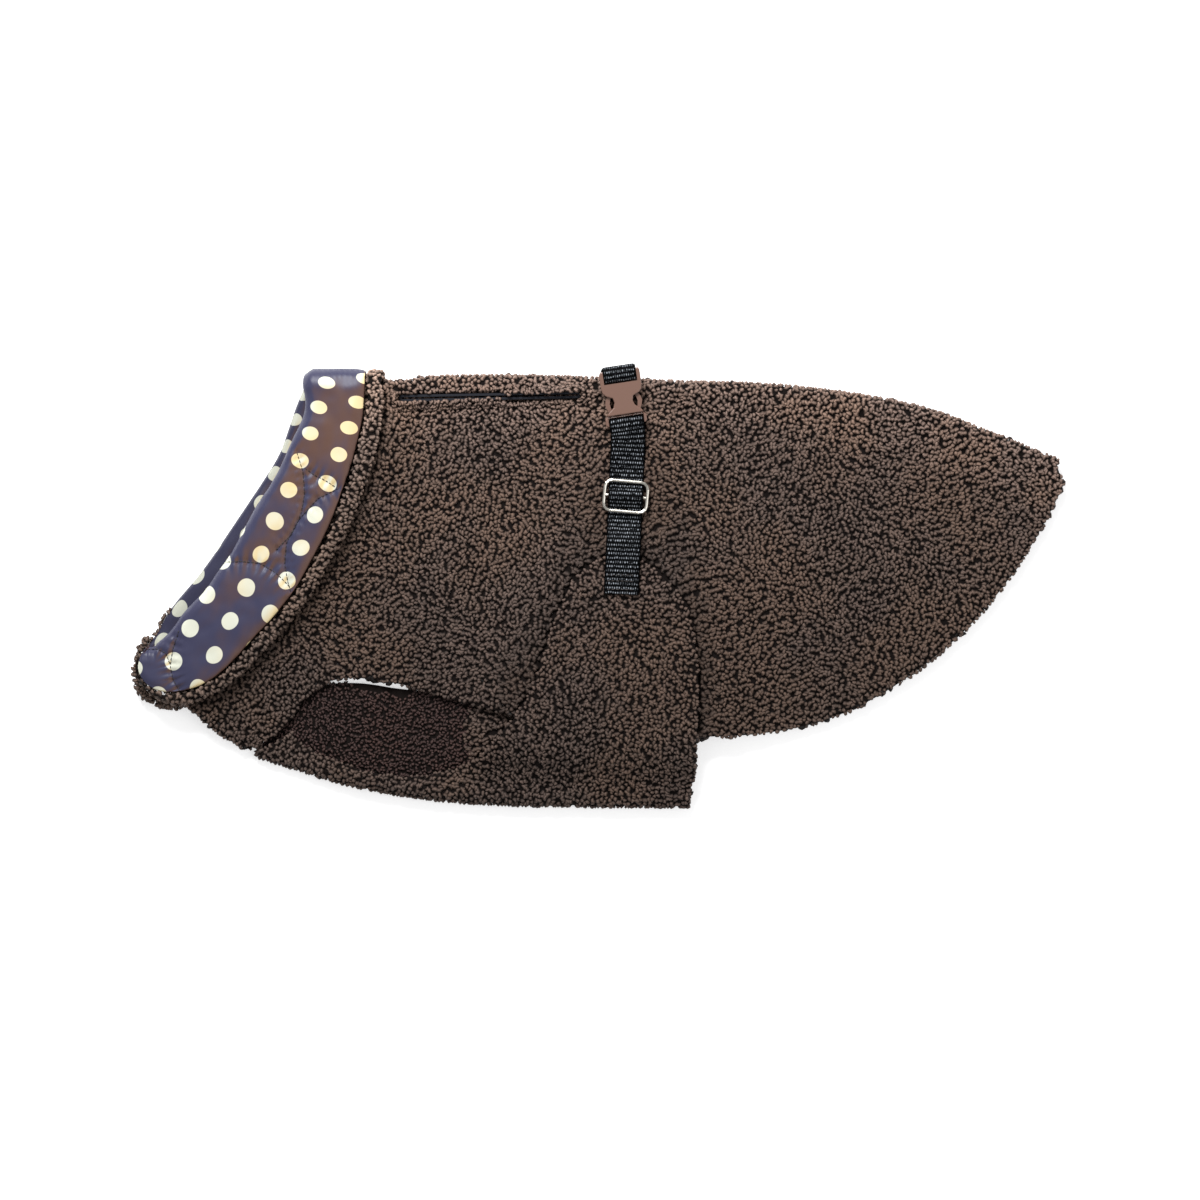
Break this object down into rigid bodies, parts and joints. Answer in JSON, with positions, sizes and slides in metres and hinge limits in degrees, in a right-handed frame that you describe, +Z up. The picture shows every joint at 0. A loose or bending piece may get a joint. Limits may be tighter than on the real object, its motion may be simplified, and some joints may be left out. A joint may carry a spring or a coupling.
{
  "type": "dog winter coat",
  "caption": "Fleece winter coat for a small dog, laid flat, with a quilted dotted collar, a leash slit, a belly piece and a back strap with a side-release buckle.",
  "frame": {"origin": "centre of the laid-out coat's bounding box, on the surface that it lies on", "axes": "+X along the back, from the collar to the tail; +Y towards the spine fold; +Z up from the surface"},
  "size_m": [0.5374, 0.2568, 0.0235],
  "materials": {
    "fleece": "matte curled fleece",
    "lining": "quilted satin with a dot repeat",
    "tape": "matte ribbed tape",
    "webbing": "ribbed webbing",
    "wire": "polished nickel",
    "buckle": "moulded plastic"
  },
  "bodies": {
    "root": {"back_panel": "fleece", "belly_panel": "fleece", "collar_fleece": "fleece", "collar_lining": "lining", "collar_rim": "fleece", "slit_binding": "tape", "strap_near": "webbing", "strap_far": "webbing", "slider": "wire", "buckle_socket": "buckle", "buckle_plug": "buckle"}
  },
  "joints": []
}
